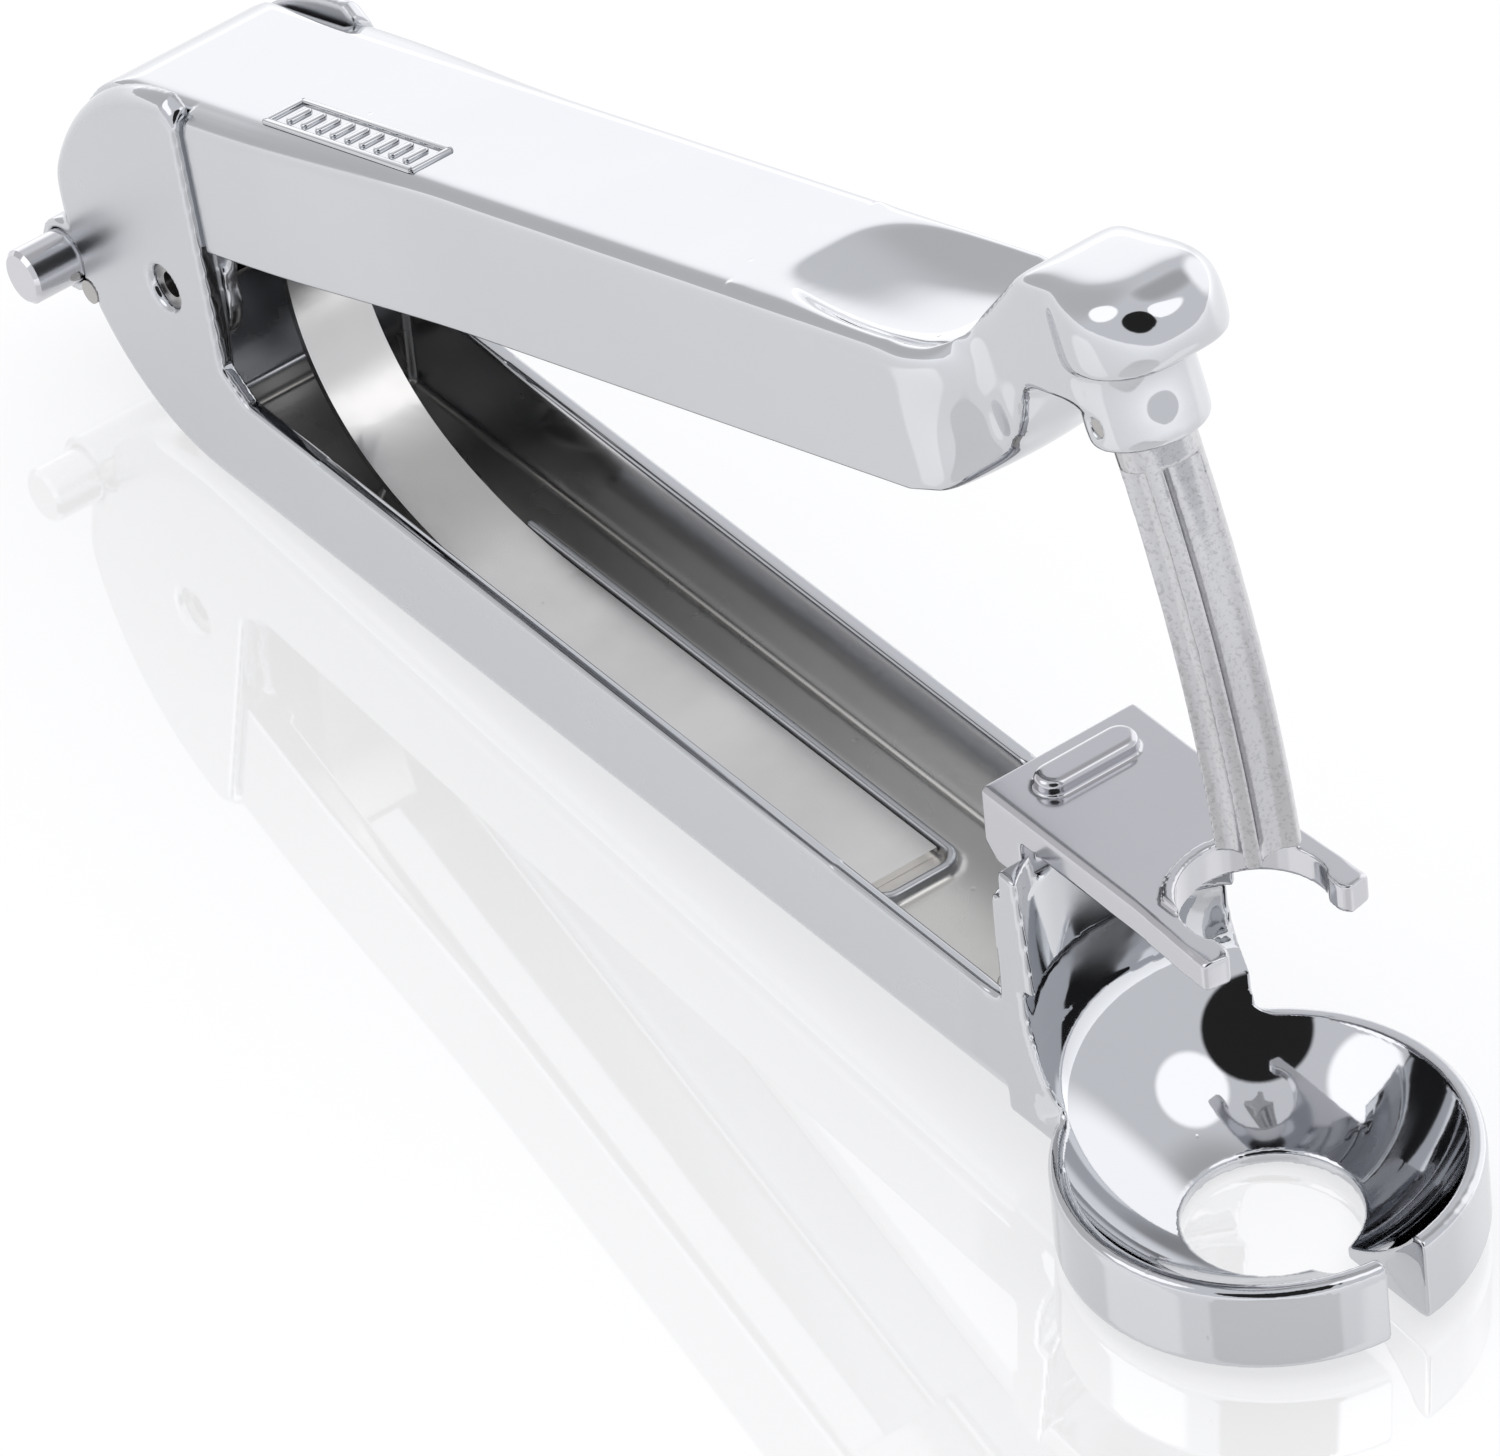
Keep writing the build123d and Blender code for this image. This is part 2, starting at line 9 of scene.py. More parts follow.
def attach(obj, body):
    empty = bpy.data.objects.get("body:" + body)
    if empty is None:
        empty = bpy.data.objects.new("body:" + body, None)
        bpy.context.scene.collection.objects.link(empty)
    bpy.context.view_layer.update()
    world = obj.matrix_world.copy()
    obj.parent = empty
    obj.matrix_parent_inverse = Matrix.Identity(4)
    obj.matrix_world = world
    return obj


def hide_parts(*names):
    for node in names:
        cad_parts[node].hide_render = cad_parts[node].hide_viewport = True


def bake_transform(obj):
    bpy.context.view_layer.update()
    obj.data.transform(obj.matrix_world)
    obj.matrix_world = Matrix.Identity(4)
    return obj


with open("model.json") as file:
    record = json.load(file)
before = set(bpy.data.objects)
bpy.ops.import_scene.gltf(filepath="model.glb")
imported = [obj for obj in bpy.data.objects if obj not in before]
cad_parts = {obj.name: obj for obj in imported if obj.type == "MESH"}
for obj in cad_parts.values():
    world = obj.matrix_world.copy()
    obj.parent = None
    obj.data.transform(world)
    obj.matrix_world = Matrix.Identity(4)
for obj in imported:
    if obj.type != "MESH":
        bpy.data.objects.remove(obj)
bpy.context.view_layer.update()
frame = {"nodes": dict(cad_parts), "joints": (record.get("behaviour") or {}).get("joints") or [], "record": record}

MM = 0.001

# ---------------------------------------------------------------- studio
# A long lens looks down on the tool from its front left, as it lies on a gloss light table
# under one wide overhead softbox. A dark card stands in front of the cup.
FOCAL_MM, SENSOR_MM = 432.56, 36.0
VIEW_RANGE = 10.0
CAMERA_PLACE = (0.896811, -0.634309, 0.998141)
CAMERA_TURN = (47.9189, 2.6783, 52.3349)
lens = bpy.data.cameras.new("studio_camera")
lens.lens = FOCAL_MM
lens.sensor_width = SENSOR_MM
lens.clip_end = VIEW_RANGE
camera = bpy.data.objects.new("studio_camera", lens)
camera.location = CAMERA_PLACE
camera.rotation_euler = [radians(angle) for angle in CAMERA_TURN]
bpy.context.scene.collection.objects.link(camera)
bpy.context.scene.camera = camera
bpy.context.scene.view_settings.view_transform = "Standard"


def node_tree(owner):
    """Empty shader tree of a world or a material."""
    owner.use_nodes = True
    tree = owner.node_tree
    tree.nodes.clear()
    return tree


def add(tree, kind, inputs=None, **props):
    """One node. inputs maps a socket's name or number to a value or to another node's output."""
    node = tree.nodes.new(kind)
    for key, value in props.items():
        setattr(node, key, value)
    for key, value in (inputs or {}).items():
        if isinstance(value, bpy.types.NodeSocket):
            tree.links.new(value, node.inputs[key])
        else:
            node.inputs[key].default_value = value
    return node


def maths(tree, operation, a, b=0.5, clamp=False):
    """Output of one maths node."""
    return add(tree, "ShaderNodeMath", {0: a, 1: b}, operation=operation, use_clamp=clamp).outputs[0]


def ramp(tree, value, low, high, out_low=0.0, out_high=1.0):
    """Smooth step of a value between two limits."""
    node = add(
        tree,
        "ShaderNodeMapRange",
        {"Value": value, "From Min": low, "From Max": high, "To Min": out_low, "To Max": out_high},
        interpolation_type="SMOOTHSTEP",
    )
    return node.outputs[0]


def card(tree, direction, azimuth, elevation, half_angle, soft):
    """Mask of a round card seen from the tool; angles in degrees, soft is the edge's width."""
    a, e = radians(azimuth), radians(elevation)
    toward = (cos(a) * cos(e), sin(a) * cos(e), sin(e))
    facing = add(tree, "ShaderNodeVectorMath", {0: direction, 1: toward}, operation="DOT_PRODUCT")
    return ramp(tree, facing.outputs["Value"], cos(radians(half_angle + soft)), cos(radians(half_angle - soft)))


# Cards of the light tent: azimuth, elevation, half angle, edge softness and brightness.
TENT_CARDS = (
    (-160, 25, 30, 20, 0.68),
    (110, 62, 18, 10, 0.56),
    (150, -2, 14, 12, 1.45),
    (98, 16, 28, 8, 1.5),
    (22, 53, 17, 1.5, 1.6),
    (-112, 38, 19, 2, 1.65),
    (-37, 38, 26, 1.2, 0.025),
)
TENT_TONE = (0.84, 0.85, 0.88, 1)
CARD_BLUE = 1.01
world = bpy.data.worlds.new("light_tent")
bpy.context.scene.world = world
sky = node_tree(world)
look = add(sky, "ShaderNodeTexCoord").outputs["Generated"]
light = add(sky, "ShaderNodeRGB")
light.outputs[0].default_value = TENT_TONE
light = light.outputs[0]
for azimuth, elevation, half_angle, soft, level in TENT_CARDS:
    mask = card(sky, look, azimuth, elevation, half_angle, soft)
    tone = (level, level, level * CARD_BLUE, 1)
    light = add(sky, "ShaderNodeMix", {"Factor": mask, 6: light, 7: tone}, data_type="RGBA").outputs[2]
backdrop = add(sky, "ShaderNodeBackground", {"Color": light, "Strength": 1.0})
add(sky, "ShaderNodeOutputWorld", {"Surface": backdrop.outputs[0]})


def softbox(name, place, aim, width, depth, power):
    """Rectangular area light that the plate does not mirror."""
    lamp = bpy.data.lights.new(name, "AREA")
    lamp.shape = "RECTANGLE"
    lamp.size = width
    lamp.size_y = depth
    lamp.energy = power
    obj = bpy.data.objects.new(name, lamp)
    obj.location = place
    obj.rotation_euler = (Vector(aim) - Vector(place)).to_track_quat("-Z", "Y").to_euler()
    obj.visible_glossy = False
    bpy.context.scene.collection.objects.link(obj)


softbox("overhead_softbox", place=(-0.2, 0.1, 1.3), aim=(0, 0, 0.03), width=2.6, depth=2.4, power=14.0)

TABLE_HALF = 3.0
TABLE_GRAIN = 3.0
TABLE_GLOW = 0.6
floor_mesh = bpy.data.meshes.new("table_top")
bm = bmesh.new()
bmesh.ops.create_grid(bm, x_segments=1, y_segments=1, size=TABLE_HALF)
bm.to_mesh(floor_mesh)
bm.free()
table_top = bpy.data.objects.new("table_top", floor_mesh)
bpy.context.scene.collection.objects.link(table_top)
acrylic = bpy.data.materials.new("white_acrylic")
tree = node_tree(acrylic)
spot = add(tree, "ShaderNodeTexCoord").outputs["Object"]
grain = add(tree, "ShaderNodeTexNoise", {"Vector": spot, "Scale": TABLE_GRAIN})
tint = add(tree, "ShaderNodeMix", {"Factor": grain.outputs[0], 6: (0.27, 0.27, 0.27, 1),
                                   7: (0.28, 0.28, 0.28, 1)}, data_type="RGBA")
glow = add(tree, "ShaderNodeMix", {"Factor": grain.outputs[0], 6: (0.99, 0.99, 1.0, 1), 7: (1, 1, 1, 1)},
           data_type="RGBA")
gloss = add(tree, "ShaderNodeBsdfPrincipled", {"Base Color": tint.outputs[2], "Roughness": 0.025, "IOR": 2.4,
                                                "Emission Color": glow.outputs[2],
                                                "Emission Strength": TABLE_GLOW})
add(tree, "ShaderNodeOutputMaterial", {"Surface": gloss.outputs[0]})
floor_mesh.materials.append(acrylic)

# ---------------------------------------------------------------- working frames
# The tool lies tilted on its cup's rear edge and its heel, so sizes are easier to read in
# two frames of its own: along the bottom handle from the stone hole, and along the top
# handle from the hinge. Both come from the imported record.
record = frame["record"]
outlet = next(m for m in record["mounts"] if m["name"] == "pit_outlet")
hinge = next(j for j in frame["joints"] if j["name"] == "handle_hinge")
TILT = atan2(outlet["axis"][0], -outlet["axis"][2])
HALF_LAND = 0.6 * MM
TOOL = Matrix.Translation(outlet["pos_m"]) @ Matrix.Rotation(-TILT, 4, "Y")
TOOL = TOOL @ Matrix.Translation((0, 0, -HALF_LAND))
OPEN_ANGLE = radians(18.4)
HANDLE = Matrix.Translation(hinge["pos_m"]) @ Matrix.Rotation(-TILT - OPEN_ANGLE, 4, "Y")


def frame_coords(tree, matrix):
    """Coordinates of the surface in one of the two working frames."""
    back = matrix.inverted()
    here = add(tree, "ShaderNodeTexCoord").outputs["Object"]
    node = add(tree, "ShaderNodeMapping", {"Vector": here})
    node.inputs["Location"].default_value = back.to_translation()
    node.inputs["Rotation"].default_value = back.to_euler()
    return node.outputs[0]


# ---------------------------------------------------------------- chrome plate
# Both handles are zinc die castings, polished and chrome plated. The plate shows faint
# waves from the polishing, a few pinholes and wiping haze.
WAVE_DEPTH, PIN_DEPTH = 0.05, 0.1


def plated_skin():
    """Shared effect: waves and pinholes as a normal, haze as a mask."""
    group = bpy.data.node_groups.new("plated_skin", "ShaderNodeTree")
    face = group.interface
    face.new_socket("Vector", in_out="INPUT", socket_type="NodeSocketVector")
    for name, value in (("Wave depth", WAVE_DEPTH), ("Pin depth", PIN_DEPTH)):
        face.new_socket(name, in_out="INPUT", socket_type="NodeSocketFloat").default_value = value
    face.new_socket("Haze", in_out="OUTPUT", socket_type="NodeSocketFloat")
    face.new_socket("Pinholes", in_out="OUTPUT", socket_type="NodeSocketFloat")
    face.new_socket("Normal", in_out="OUTPUT", socket_type="NodeSocketVector")
    entry = add(group, "NodeGroupInput")
    where = entry.outputs["Vector"]
    waves = add(group, "ShaderNodeTexNoise", {"Vector": where, "Scale": 90.0, "Detail": 1.0})
    haze = add(group, "ShaderNodeTexNoise", {"Vector": where, "Scale": 45.0, "Detail": 4.0, "Roughness": 0.6})
    pins = add(group, "ShaderNodeTexVoronoi", {"Vector": where, "Scale": 160.0, "Randomness": 1.0})
    holes = ramp(group, pins.outputs["Distance"], 0.05, 0.02)
    bump = add(group, "ShaderNodeBump", {"Strength": entry.outputs["Wave depth"], "Distance": 0.001,
                                         "Height": waves.outputs[0]})
    pitted = add(group, "ShaderNodeBump", {"Strength": entry.outputs["Pin depth"], "Distance": 0.0002,
                                           "Height": holes, "Normal": bump.outputs[0]}, invert=True)
    add(group, "NodeGroupOutput", {"Haze": haze.outputs[0], "Pinholes": holes, "Normal": pitted.outputs[0]})
    return group


SKIN = plated_skin()


def chrome(name, matrix, bright, dull, rough_low, rough_high):
    """Metal finish under the plated skin; returns the material, its tree, coordinates and shader."""
    made = bpy.data.materials.new(name)
    tree = node_tree(made)
    where = frame_coords(tree, matrix)
    skin = add(tree, "ShaderNodeGroup", node_tree=SKIN)
    tree.links.new(where, skin.inputs["Vector"])
    skin.inputs["Wave depth"].default_value = WAVE_DEPTH
    skin.inputs["Pin depth"].default_value = PIN_DEPTH
    tone = add(tree, "ShaderNodeMix", {"Factor": skin.outputs["Haze"], 6: (*bright, 1), 7: (*dull, 1)},
               data_type="RGBA")
    shader = add(tree, "ShaderNodeBsdfPrincipled", {
        "Base Color": tone.outputs[2],
        "Metallic": 1.0,
        "Roughness": ramp(tree, skin.outputs["Haze"], 0.3, 0.7, rough_low, rough_high),
        "Normal": skin.outputs["Normal"],
    })
    add(tree, "ShaderNodeOutputMaterial", {"Surface": shader.outputs[0]})
    return made, tree, where, shader


def dress(node, material):
    """Gives a CAD node its finish."""
    obj = frame["nodes"][node]
    obj.data.materials.clear()
    obj.data.materials.append(material)
    return obj


# ---------------------------------------------------------------- bottom handle
# One zinc casting: trough, ears, post and cup. Outside it is mirror chrome; the trough's
# floor stays satin, because the polishing wheel can't reach it.
plate, tree, where, shader = chrome("plated_trough", TOOL, (0.60, 0.61, 0.63), (0.565, 0.575, 0.60),
                                    rough_low=0.02, rough_high=0.06)
part = add(tree, "ShaderNodeSeparateXYZ", {0: where})
FLOOR_TOP = 7.1 * MM
# Where each finish and the trough floor's painted shade end, as pairs of limits that a smooth step runs between.
BEHIND_POST = (-19 * MM, -20 * MM)
BETWEEN_WALLS = (9.2 * MM, 9.0 * MM)
OUTER_SIDES = (10.2 * MM, 10.45 * MM)
BEHIND_CUP = (-23 * MM, -26 * MM)
FLOOR_SHADE = (-100 * MM, -45 * MM)
TROUGH_BRUSHING = 0.24
near_floor = ramp(tree, part.outputs["Z"], FLOOR_TOP + 0.9 * MM, FLOOR_TOP + 0.2 * MM)
above_under = ramp(tree, part.outputs["Z"], FLOOR_TOP - 0.6 * MM, FLOOR_TOP - 0.3 * MM)
behind_post = ramp(tree, part.outputs["X"], *BEHIND_POST)
between_walls = ramp(tree, maths(tree, "ABSOLUTE", part.outputs["Y"]), *BETWEEN_WALLS)
inside = maths(tree, "MULTIPLY", above_under, maths(tree, "MULTIPLY", behind_post, between_walls))
satin = maths(tree, "MULTIPLY", near_floor, inside)
outside = ramp(tree, maths(tree, "ABSOLUTE", part.outputs["Y"]), *OUTER_SIDES)
brushed = maths(tree, "MULTIPLY", outside, ramp(tree, part.outputs["X"], *BEHIND_CUP))
blotch = add(tree, "ShaderNodeTexNoise", {"Vector": where, "Scale": 110.0, "Detail": 2.0, "Roughness": 0.5})
# Painted shade: the trough's floor is coloured darker towards the hinge end, where the top handle closes over it,
# and keeps its plain satin tone towards the cup; the blotches are the floor's own uneven tone.
shade_lifts_toward_cup = ramp(tree, part.outputs["X"], *FLOOR_SHADE)
floor_rear_painted_shade = add(tree, "ShaderNodeMix", {"Factor": blotch.outputs[0], 6: (0.34, 0.33, 0.315, 1),
                                         7: (0.29, 0.28, 0.265, 1)}, data_type="RGBA")
floor_front = add(tree, "ShaderNodeMix", {"Factor": blotch.outputs[0], 6: (0.70, 0.69, 0.665, 1),
                                          7: (0.60, 0.585, 0.56, 1)}, data_type="RGBA")
satin_tone_with_painted_shade = add(tree, "ShaderNodeMix", {"Factor": shade_lifts_toward_cup, 6: floor_rear_painted_shade.outputs[2],
                                         7: floor_front.outputs[2]}, data_type="RGBA")
mirror_tone = shader.inputs["Base Color"].links[0].from_socket
mirror_rough = shader.inputs["Roughness"].links[0].from_socket
both = add(tree, "ShaderNodeMix", {"Factor": satin, 6: mirror_tone, 7: satin_tone_with_painted_shade.outputs[2]}, data_type="RGBA")
tree.links.new(both.outputs[2], shader.inputs["Base Color"])
duller = maths(tree, "MULTIPLY", maths(tree, "MAXIMUM", inside, brushed), TROUGH_BRUSHING)
walls = maths(tree, "ADD", mirror_rough, duller)
rough = add(tree, "ShaderNodeMix", {"Factor": satin, 2: walls,
                                    3: ramp(tree, blotch.outputs[0], 0.35, 0.65, 0.27, 0.31)}, data_type="FLOAT")
tree.links.new(rough.outputs[0], shader.inputs["Roughness"])


def show_as(obj, material, body, node):
    """The piece stands for a CAD node: it takes the finish and the body, and the node is hidden."""
    obj.data.materials.clear()
    obj.data.materials.append(material)
    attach(obj, body)
    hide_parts(node)


def step(value, low, high):
    """Smooth step from 0 at low to 1 at high."""
    t = max(0.0, min(1.0, (value - low) / (high - low)))
    return t * t * (3 - 2 * t)


def as_cast(p):
    """Nothing to correct."""
    return p


WELD_GAP = 0.002 * MM
EASE = 0.5


def eased_casting(name, node, matrix, voxel, rounds, soft_rounds, softness, shape=as_cast,
                  true_up=as_cast):
    """The casting as polished: its CAD shape with every edge eased.

    shape corrects the form before the parts that softness names are rubbed down further, and
    true_up then brings turned surfaces back to their exact radius. All three work in mm.
    """
    obj = bpy.data.objects.new(name, frame["nodes"][node].data.copy())
    obj.data.transform(matrix.inverted())
    bpy.context.scene.collection.objects.link(obj)
    obj.modifiers.new("weld", "WELD").merge_threshold = WELD_GAP
    skin = obj.modifiers.new("skin", "REMESH")
    skin.mode = "VOXEL"
    skin.voxel_size = voxel
    ease = obj.modifiers.new("ease", "SMOOTH")
    ease.factor = EASE
    ease.iterations = rounds
    for stage in range(2):
        graph = bpy.context.evaluated_depsgraph_get()
        made = bpy.data.meshes.new_from_object(obj.evaluated_get(graph))
        obj.modifiers.clear()
        obj.data = made
        fix = shape if stage == 0 else true_up
        if fix is not as_cast:
            for v in made.vertices:
                v.co = Vector(fix(v.co / MM)) * MM
        if stage == 0:
            group = obj.vertex_groups.new(name="soft")
            for v in made.vertices:
                weight = softness(v.co / MM)
                if weight > 0:
                    group.add([v.index], weight, "REPLACE")
            extra = obj.modifiers.new("extra", "SMOOTH")
            extra.factor = EASE
            extra.iterations = soft_rounds
            extra.vertex_group = "soft"
    obj.data.transform(matrix)
    obj.data.shade_smooth()
    return obj


# Turned surfaces of the cup and post, and the flat sides, in mm.
BOWL_R, BOWL_Z = 20.0, 19.78
RING_R, RING_TOP = 17.6, 8.2
SIDE_HALF = 10.55
FACE_R, FACE_X, FACE_LEAN = 16.0, -2.2, 0.1086
# A point this close to a turned surface is put on it, one beyond the limit is left alone.
NEAR, LIMIT = 0.14, 0.3
LEDGE_SEARCH, LEDGE_MIN = 4.0, 0.02
SKIN_REACH, BODY_REACH = 0.6, 2.4
FOOT_EASE = 0.8


def face_radius(p):
    """Distance from the leaning axis that the post's front is turned about."""
    return hypot(p.x - FACE_X + (p.z - RING_TOP) * FACE_LEAN, p.y)


def bowl_into_post(p):
    """Carries the bowl's curve up the foot of the post, where the CAD shape has a small ledge."""
    if not (-22.5 < p.x < -6 and abs(p.y) < 10.7 and 6.5 < p.z < 14.5):
        return p
    centre = Vector((0, 0, BOWL_Z))
    away = p - centre
    reach = away.length
    away.normalize()
    low, high = BOWL_R, BOWL_R + LEDGE_SEARCH
    if away.z < 0:
        high = min(high, (RING_TOP - BOWL_Z) / away.z)
    if high <= BOWL_R:
        return p
    for _ in range(10):
        middle = (low + high) / 2
        if face_radius(centre + away * middle) < FACE_R:
            low = middle
        else:
            high = middle
    ledge = high - BOWL_R
    if ledge < LEDGE_MIN or reach < high - SKIN_REACH:
        return p
    behind = max(0.0, reach - high)
    return p - away * ledge * (1.0 - step(behind, 0.1, BODY_REACH))


def foot_softness(p):
    """The post's foot and its front edges are rubbed down by hand."""
    foot = step(p.x, -23.5, -21.0) * (1.0 - step(p.x, -13.0, -9.0)) * step(p.z, 7.0, 8.5)
    return FOOT_EASE * foot * (1.0 - step(p.z, 21.0, 24.0))


def turned_cup(p):
    """Bowl, ring, the post's front and the flat sides brought back to true after the easing."""
    if abs(abs(p.y) - SIDE_HALF) < 0.06 and p.x < -14:
        return Vector((p.x, SIDE_HALF if p.y > 0 else -SIDE_HALF, p.z))
    away = p - Vector((0, 0, BOWL_Z))
    off = away.length - BOWL_R
    bowl_top = 14.0 if p.x < -9 else 7.9
    if 1.2 < p.z < bowl_top and abs(off) < LIMIT and hypot(p.x, p.y) > 7.5:
        keep = 1.0 - step(abs(off), NEAR, LIMIT)
        return p - away.normalized() * off * keep
    radius = hypot(p.x, p.y)
    if 0.8 < p.z < 7.4 and abs(radius - RING_R) < 0.12 and p.x > -13:
        grow = RING_R / radius
        return Vector((p.x * grow, p.y * grow, p.z))
    off = face_radius(p) - FACE_R
    if 14.0 < p.z < 28.0 and p.x < -9 and abs(off) < LIMIT and abs(p.y) < 10.2:
        outward = Vector((p.x - FACE_X, p.y, 0)).normalized()
        return p - outward * off * (1.0 - step(abs(off), NEAR, LIMIT)) * step(p.z, 14.0, 17.0)
    return p


trough = eased_casting("bottom_handle", "lower_handle", TOOL, voxel=0.28 * MM, rounds=5, soft_rounds=14,
                       softness=foot_softness, shape=bowl_into_post, true_up=turned_cup)
show_as(trough, plate, "lower", "lower_handle")


def mesh_piece(name, bm, matrix, material, body):
    """Object from a bmesh drawn in a working frame, smooth shaded, riding on a body."""
    bmesh.ops.recalc_face_normals(bm, faces=bm.faces)
    bm.transform(matrix)
    data = bpy.data.meshes.new(name)
    bm.to_mesh(data)
    bm.free()
    data.materials.append(material)
    data.shade_smooth()
    obj = bpy.data.objects.new(name, data)
    bpy.context.scene.collection.objects.link(obj)
    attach(obj, body)
    return obj


def bead_ring(bm, centre, radius, half_width, rise, steps=72):
    """Low round-topped ring standing on a flat face."""
    profile = [(half_width * cos(pi * k / 6), rise * sin(pi * k / 6)) for k in range(7)]
    loops = []
    for i in range(steps):
        a = 2 * pi * i / steps
        out = Vector((cos(a), sin(a), 0))
        loops.append([bm.verts.new(Vector(centre) + out * (radius + r) + Vector((0, 0, z)))
                      for r, z in profile])
    for i in range(steps):
        one, two = loops[i], loops[(i + 1) % steps]
        for k in range(6):
            bm.faces.new((one[k], one[k + 1], two[k + 1], two[k]))


# Marks that the mould's ejector pins leave on the trough's floor.
MARK_X = (-112.5, -28.0)
MARK_Y, MARK_Z = 0.6 * MM, FLOOR_TOP - 0.03 * MM
bm = bmesh.new()
for x in MARK_X:
    bead_ring(bm, (x * MM, MARK_Y, MARK_Z), radius=4.6 * MM, half_width=0.35 * MM, rise=0.22 * MM)
mesh_piece("ejector_marks", bm, TOOL, plate, "lower")

# ---------------------------------------------------------------- hinge, stop and lock pins
# Ground steel pins pressed through the castings, and a turned and plated lock pin.
steel = chrome("ground_steel", TOOL, (0.50, 0.49, 0.48), (0.38, 0.37, 0.36), rough_low=0.16, rough_high=0.3)[0]
for node in ("hinge_pin", "stop_pin", "punch_pin"):
    dress(node, steel)
turned = chrome("turned_lock", TOOL, (0.68, 0.68, 0.70), (0.6, 0.6, 0.63), rough_low=0.06, rough_high=0.12)[0]
dress("lock_pin", turned)

# ---------------------------------------------------------------- leaf spring
# Bright rolled strip. Its flat end lies in the floor's pocket; its free end curls up and
# presses on the top handle's inside, so it bends as the handles close. The real end slides
# along the handle; here the strip keeps its CAD shape and place.
strip = chrome("rolled_strip", TOOL, (0.74, 0.73, 0.72), (0.62, 0.61, 0.6), rough_low=0.16, rough_high=0.26)[0]
spring = bpy.data.objects.new("spring_strip", frame["nodes"]["leaf_spring"].data.copy())
bpy.context.scene.collection.objects.link(spring)
spring.data.materials.clear()
spring.data.materials.append(strip)
spring_tip = max((v.co for v in spring.data.vertices), key=lambda co: co.z).copy()
spring_tip.y = 0.0
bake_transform(spring)
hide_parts("leaf_spring")

# ---------------------------------------------------------------- top handle
# Zinc casting with a flat back, a thumb dish and a nose that holds the punch.
TOP_SIDES = (8.45 * MM, 8.65 * MM)
SIDES_END = (116 * MM, 110 * MM)
HOLLOW_HALF = (7.9 * MM, 7.6 * MM)
HOLLOW_ROOF = (15.2 * MM, 14.6 * MM)
HOLLOW_END = (117 * MM, 116 * MM)
TOP_BRUSHING = 0.16
plate_top, tree, where, shader = chrome("plated_back", HANDLE, (0.61, 0.62, 0.64), (0.575, 0.585, 0.61),
                                        rough_low=0.02, rough_high=0.06)
part = add(tree, "ShaderNodeSeparateXYZ", {0: where})
half = maths(tree, "ABSOLUTE", part.outputs["Y"])
brushed = maths(tree, "MULTIPLY", ramp(tree, half, *TOP_SIDES), ramp(tree, part.outputs["X"], *SIDES_END))
hollow = maths(tree, "MULTIPLY", ramp(tree, half, *HOLLOW_HALF), ramp(tree, part.outputs["Z"], *HOLLOW_ROOF))
hollow = maths(tree, "MULTIPLY", hollow, ramp(tree, part.outputs["X"], *HOLLOW_END))
mirror_rough = shader.inputs["Roughness"].links[0].from_socket
duller = maths(tree, "MULTIPLY", maths(tree, "MAXIMUM", brushed, hollow), TOP_BRUSHING)
rough = maths(tree, "ADD", mirror_rough, duller)
tree.links.new(rough, shader.inputs["Roughness"])

# Sizes of the top handle in its own frame, in mm: u runs forward from the hinge, w up.
TOP_HALF, TOP_BACK = 8.7, 18.2
FRONT_U, CORNER_R = 121.8, 8.6
NECK_HALF = 5.3
EAR_EDGE, EAR_SLOPE, EAR_FOOT, EAR_GAP = 10.39, 0.193, 4.75, 0.38
SHOULDER_U = 11.0
SIDE_FLARE = 1.15
SPOON_DEPTH, SPOON_U, SPOON_CURVE, SPOON_HALF = 2.75, 110.0, 105.0, 7.4
CHIN_BACK = 2.5


def rounded_corner(a, b):
    """Square corner to round corner; both run from 0 to 1."""
    return a * sqrt(1 - b * b / 2), b * sqrt(1 - a * a / 2)


def top_form(p):
    """Rear edges that follow the ears, a spoon-shaped dish and a front end that is round in plan."""
    u, y, w = p
    half = abs(y)
    if -2 < u < 21 and half > 7.2 and w > 1.0:
        ear_edge = EAR_EDGE - (TOP_BACK - max(w, EAR_FOOT)) * EAR_SLOPE
        back = max(0.0, SHOULDER_U - EAR_GAP - ear_edge) * step(half, 7.2, 7.9) * step(w, 1.0, 4.0)
        u -= back * step(u, 2.0, SHOULDER_U) * (1.0 - step(u, SHOULDER_U, 20.0))
    if 10.6 < p.x < 50 and half > 7.5 and w > 1.0:
        half += SIDE_FLARE * (1.0 - step(p.x, 14.0, 48.0)) * step(half, 7.5, 8.5)
        y = half if y > 0 else -half
    if 90 < u < 121 and half < 8.1 and w > 14.9:
        deep = SPOON_DEPTH - (u - SPOON_U) ** 2 / SPOON_CURVE - SPOON_DEPTH * (half / SPOON_HALF) ** 4
        spoon = TOP_BACK - max(0.0, deep)
        w += (spoon - w) * (1.0 - step(u, 113.5, 120.0)) * (1.0 - step(half, SPOON_HALF, 8.1))
    if 110 < u < 127 and w < 15.5:
        u -= CHIN_BACK * step(u, 110.0, 121.0) * (1.0 - step(w, 5.0, 15.0)) * (1.0 - step(u, 123.0, 127.0))
    start = FRONT_U - CORNER_R
    if start < u < FRONT_U + 0.4 and w < 19.5:
        a = min(1.0, (u - start) / CORNER_R)
        low_b = max(0.0, min(1.0, (half - TOP_HALF + CORNER_R) / CORNER_R))
        high_b = max(0.0, min(1.0, (half - NECK_HALF) / (TOP_HALF - NECK_HALF)))
        low_a2, low_b2 = rounded_corner(a, low_b)
        high_a2, high_b2 = rounded_corner(a, high_b)
        under = 1.0 - step(w, 11.0, 15.5)
        u += ((low_a2 - a) * under + (high_a2 - a) * (1 - under)) * CORNER_R
        half += (low_b2 - low_b) * CORNER_R * under
        half += (high_b2 - high_b) * (TOP_HALF - NECK_HALF) * (1 - under)
        y = half if y > 0 else -half
    return u, y, w


